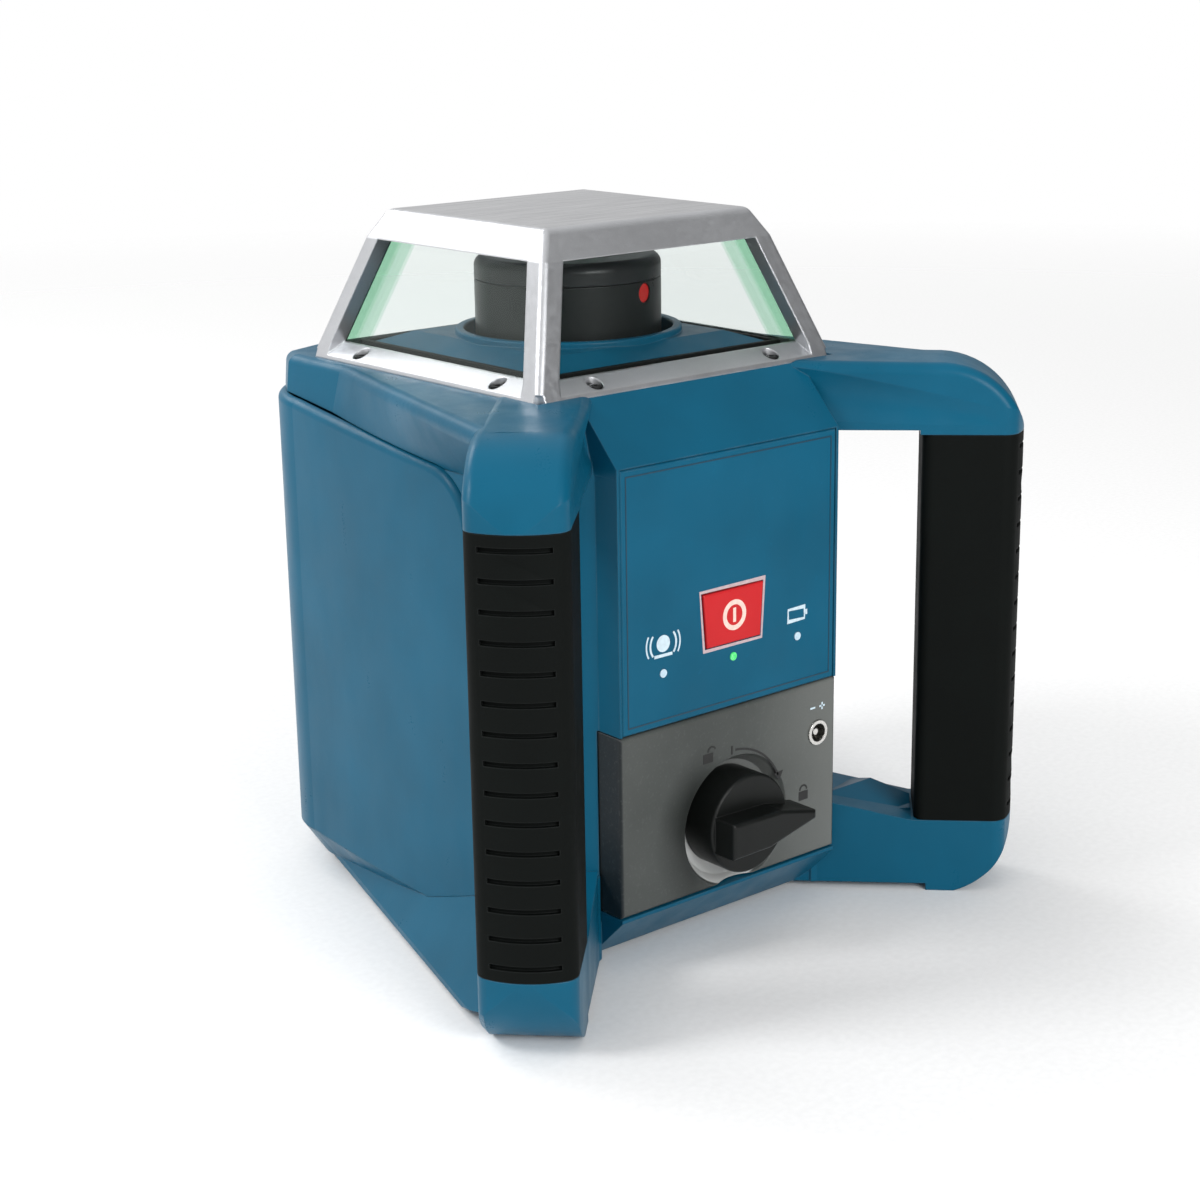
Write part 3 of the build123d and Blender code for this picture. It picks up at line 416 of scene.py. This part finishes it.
finishes = {
    case_plastic: "base_frame rear_case front_case collar_plate",
    panel_plastic: "control_panel",
    key_plastic: "power_button",
    knob_plastic: "lock_knob",
    drawer_grain: "drawer_front",
    inner_plastic: "handle_core_right handle_core_left tact_switch battery_bay battery_tray vial_cradle",
    rotor_plastic: "rotor_hub rotor_shell prism_mount",
    rotor_cap_plastic: "rotor_cap",
    grip_rubber: "grip_right grip_left",
    seal_rubber: "guard_gasket drawer_seal",
    belt_rubber: "drive_belt",
    guard_paint: "guard_frame",
    glass: "glass_front glass_right glass_back glass_left",
    lens_glass: "collimator_lens beam_prism",
    vial_glass: "tilt_vials",
    red_glass: "beam_window",
    lamps: "led_lenses",
    board: "main_board",
    sleeve: "battery_left battery_right",
    plate_metal: "chassis_plate gimbal_bracket latch_cam outer_ring optics_carrier",
    turned_steel: "outer_pivot_pins inner_pivot_pins knob_shaft shaft_clip lower_bearing upper_bearing",
    screw_steel: "guard_screws base_screws",
    motor_can: "levelling_motor_x levelling_motor_y spin_motor",
    turned_brass: "tripod_insert levelling_nut_x levelling_nut_y laser_module motor_pulley",
    nickel: "bay_contacts contact_springs charge_jack",
}
for material, names in finishes.items():
    for name in names.split():
        mesh = nodes[name].data
        mesh.materials.clear()
        mesh.materials.append(material)


# ---------------------------------------------------------------- printed marks

class Print:
    """Flat marks on a wall that faces -Y, given in millimetres as (x, z) outlines."""

    def __init__(self, name, wall_y, material, body, slot):
        self.name = name
        self.wall_y = wall_y
        self.bm = bmesh.new()
        self.material = material
        self.body = body
        self.slot = slot

    def vert(self, x, z):
        return self.bm.verts.new((x * MM, self.wall_y - print_height, z * MM))

    def stroke(self, points, width, closed=False):
        """A line of one width along points."""
        count = len(points)
        rails = []
        for i, (x, z) in enumerate(points):
            before = points[i - 1] if i or closed else points[i]
            after = points[(i + 1) % count] if i < count - 1 or closed else points[i]
            dx, dz = after[0] - before[0], after[1] - before[1]
            length = hypot(dx, dz)
            nx, nz = -dz / length * width / 2, dx / length * width / 2
            if closed or 0 < i < count - 1:
                ax, az = x - before[0], z - before[1]
                turn = abs((ax * dx + az * dz) / (hypot(ax, az) * length))
                nx, nz = nx / max(turn, 0.5), nz / max(turn, 0.5)
            rails.append((self.vert(x + nx, z + nz), self.vert(x - nx, z - nz)))
        for i in range(count if closed else count - 1):
            a, b = rails[i], rails[(i + 1) % count]
            self.bm.faces.new((a[0], b[0], b[1], a[1]))

    def fill(self, points):
        self.bm.faces.new([self.vert(x, z) for x, z in points])

    def finish(self):
        """Adds backs just inside the wall and closes the rims, in an order that is the same each run."""
        fronts = self.bm.faces[:]
        rims = [edge for edge in self.bm.edges if edge.is_boundary]
        under = {}
        for vert in self.bm.verts[:]:
            under[vert] = self.bm.verts.new((vert.co.x, self.wall_y + print_sunk, vert.co.z))
        for face in fronts:
            self.bm.faces.new([under[vert] for vert in reversed(face.verts[:])])
        for edge in rims:
            a, b = edge.verts
            self.bm.faces.new((a, b, under[b], under[a]))
        bmesh.ops.recalc_face_normals(self.bm, faces=self.bm.faces)
        finish_mesh(self.name, self.bm, self.material, self.body)


def finish_mesh(name, bm, material, body):
    mesh = bpy.data.meshes.new(name)
    bm.to_mesh(mesh)
    bm.free()
    piece = bpy.data.objects.new(name, mesh)
    bpy.context.scene.collection.objects.link(piece)
    mesh.materials.append(material)
    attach(piece, body)


def arc(x, z, radius, start, end, steps):
    """Points on a circle, in degrees from +X towards +Z."""
    count = steps if end - start >= 360 else steps + 1
    return [(x + radius * cos(radians(start + (end - start) * i / steps)),
             z + radius * sin(radians(start + (end - start) * i / steps))) for i in range(count)]


white_ink = printed("white_ink", (0.62, 0.76, 0.84))
cream_ink = printed("cream_ink", (0.90, 0.66, 0.58))
border_ink = printed("border_ink", (0.55, 0.42, 0.44))
black_ink = printed("black_ink", (0.012, 0.012, 0.012))
line_ink = printed("line_ink", (0.003, 0.040, 0.075))


def power_mark():
    mark = Print("power_symbol", key_y, cream_ink, "button", "button_red")
    x, z = 0.3, 89.3
    mark.stroke(arc(x, z, 3.4, 0, 360, 40), 1.3, True)
    mark.stroke([(x, z - 1.9), (x, z + 1.9)], 1.0)
    mark.finish()


def key_border():
    mark = Print("button_border", panel_y, border_ink, "housing", "panel_blue")
    grow = 0.75
    corners = [(-9.0 - grow, 82.0 - grow), (9.6 + grow, 82.0 - grow), (10.6 + grow, 96.3 + grow),
               (-10.3 - grow, 96.3 + grow)]
    mark.stroke(corners, 0.7, True)
    mark.finish()


def level_mark():
    mark = Print("level_symbol", panel_y, white_ink, "housing", "panel_blue")
    x, z = -23.5, 86.2
    mark.fill(arc(x, z + 0.2, 2.2, 0, 360, 28))
    mark.stroke([(x - 3.0, z - 2.9), (x + 3.0, z - 2.9)], 0.8)
    for side in (0, 180):
        mark.stroke(arc(x, z, 4.3, side - 38, side + 38, 12), 0.55)
        mark.stroke(arc(x, z, 5.6, side - 30, side + 30, 12), 0.45)
    mark.finish()


def battery_mark():
    mark = Print("battery_symbol", panel_y, white_ink, "housing", "panel_blue")
    x, z = 23.2, 84.8
    mark.stroke([(x - 3.2, z - 1.6), (x + 2.8, z - 1.6), (x + 2.8, z + 1.6), (x - 3.2, z + 1.6)], 0.6, True)
    mark.fill([(x + 3.1, z - 0.7), (x + 3.8, z - 0.7), (x + 3.8, z + 0.7), (x + 3.1, z + 0.7)])
    mark.finish()


def padlock(mark, x, z, shift, size):
    """A padlock whose shackle is moved sideways and left open where shift isn't 0."""
    mark.fill([(x - size, z - size), (x + size, z - size), (x + size, z + size * 0.5),
               (x - size, z + size * 0.5)])
    mark.stroke(arc(x + shift, z + size * 0.7, size * 0.75, 20 if shift else 0, 180, 12), 0.5)


def panel_line():
    """The fine line that runs round the panel just inside its edges."""
    mark = Print("panel_outline", panel_y, line_ink, "housing", "panel_blue")
    inset = 1.8
    x0, x1 = panel_low.x / MM + inset, panel_high.x / MM - inset
    z0, z1 = panel_low.z / MM + inset, panel_high.z / MM - inset
    mark.stroke([(x0, z0), (x1, z0), (x1, z1), (x0, z1)], 0.35, True)
    mark.finish()


def lock_marks():
    mark = Print("lock_symbols", drawer_y, black_ink, "drawer", "drawer_grey")
    cx, cz = knob_x / MM, knob_z / MM
    dial = 18.3
    mark.stroke(arc(cx, cz, dial, 24, 86, 30), 0.6)
    tip = arc(cx, cz, dial, 24, 30, 1)
    mark.fill([(tip[0][0] + 0.5, tip[0][1] - 1.6), (tip[0][0] + 1.8, tip[0][1] + 1.0),
               (tip[0][0] - 1.5, tip[0][1] + 0.6)])
    padlock(mark, -8.4, 52.6, 1.3, 1.7)
    padlock(mark, 26.2, 33.6, 0, 1.7)
    mark.stroke([(cx, cz + 17.2), (cx, cz + 19.6)], 0.6)
    mark.finish()


def charge_mark():
    mark = Print("charge_symbol", drawer_y, white_ink, "drawer", "drawer_grey")
    mark.stroke([(28.6, 57.2), (30.4, 57.2)], 0.5)
    mark.stroke([(32.0, 57.2), (34.0, 57.2)], 0.5)
    mark.stroke([(33.0, 56.2), (33.0, 58.2)], 0.5)
    mark.finish()


power_mark()
key_border()
level_mark()
battery_mark()
panel_line()
lock_marks()
charge_mark()


# ---------------------------------------------------------------- stage, lights and camera

def floor():
    """A pale floor that fades into the white background away from the object."""
    bm = bmesh.new()
    bmesh.ops.create_circle(bm, cap_ends=True, segments=64, radius=2.5)
    mesh = bpy.data.meshes.new("floor")
    bm.to_mesh(mesh)
    bm.free()
    piece = bpy.data.objects.new("floor", mesh)
    piece.location.z = -0.02 * MM
    bpy.context.scene.collection.objects.link(piece)
    g = Graph("floor_paper")
    grain = g.noise(2 * MM, 2)
    g.set("Base Color", g.mix(g.ramp(grain, 0.3, 0.7), (0.88, 0.88, 0.88), (0.92, 0.92, 0.92)))
    g.set("Roughness", 0.9)
    reach = g.add("ShaderNodeVectorMath", operation="LENGTH")
    g.link(g.place, reach.inputs[0])
    g.set("Alpha", g.ramp(reach.outputs["Value"], 0.35, 1.6, 1.0, 0.0))
    mesh.materials.append(g.material)


def area_light(name, place, target, size, power):
    data = bpy.data.lights.new(name, "AREA")
    data.shape = "RECTANGLE"
    data.size, data.size_y = size
    data.energy = power
    lamp = bpy.data.objects.new(name, data)
    lamp.location = place
    lamp.rotation_euler = (Vector(target) - Vector(place)).to_track_quat("-Z", "Y").to_euler()
    bpy.context.scene.collection.objects.link(lamp)


def world_light(bright, dark):
    """Soft light all round, brightest from the left, behind and above, and white where it is seen."""
    world = bpy.data.worlds.new("studio")
    world.use_nodes = True
    tree = world.node_tree
    background = tree.nodes["Background"]
    place = tree.nodes.new("ShaderNodeTexCoord")
    dot = tree.nodes.new("ShaderNodeVectorMath")
    dot.operation = "DOT_PRODUCT"
    dot.inputs[1].default_value = (-0.60, 0.58, 0.55)
    tree.links.new(place.outputs["Generated"], dot.inputs[0])
    level = tree.nodes.new("ShaderNodeMapRange")
    level.interpolation_type = "SMOOTHSTEP"
    for index, number in enumerate((-0.8, 0.7, dark, bright), 1):
        level.inputs[index].default_value = number
    tree.links.new(dot.outputs["Value"], level.inputs[0])
    seen = tree.nodes.new("ShaderNodeLightPath")
    choose = tree.nodes.new("ShaderNodeMix")
    tree.links.new(seen.outputs["Is Camera Ray"], choose.inputs[0])
    tree.links.new(level.outputs[0], choose.inputs[2])
    choose.inputs[3].default_value = 1.0
    tree.links.new(choose.outputs[0], background.inputs[1])
    background.inputs[0].default_value = (1.0, 1.0, 1.0, 1)
    bpy.context.scene.world = world


def camera():
    """The photograph's camera, solved from the object's edges. Angles are in degrees."""
    place = (-0.38136, -0.47406, 0.25367)
    yaw, down, roll = -39.5, 15.98, -0.93
    data = bpy.data.cameras.new("camera")
    data.sensor_width = 36
    data.lens = 68.19
    data.clip_start = 0.01
    view = bpy.data.objects.new("camera", data)
    turn = Matrix.Rotation(radians(yaw), 4, "Z") @ Matrix.Rotation(radians(90 - down), 4, "X")
    turn = turn @ Matrix.Rotation(radians(roll), 4, "Z")
    view.matrix_world = Matrix.Translation(place) @ turn
    bpy.context.scene.collection.objects.link(view)
    bpy.context.scene.camera = view


floor()
middle = (0, 0, 0.09)
world_light(0.88, 0.06)
area_light("key", (-0.90, 0.30, 0.90), middle, (0.35, 0.35), 6)
area_light("back_sky", (-0.25, 1.2, 1.05), middle, (0.9, 0.6), 7)
area_light("front_fill", (-0.15, -1.3, 0.60), middle, (0.6, 0.5), 12)
camera()
bpy.context.scene.view_settings.view_transform = "Standard"
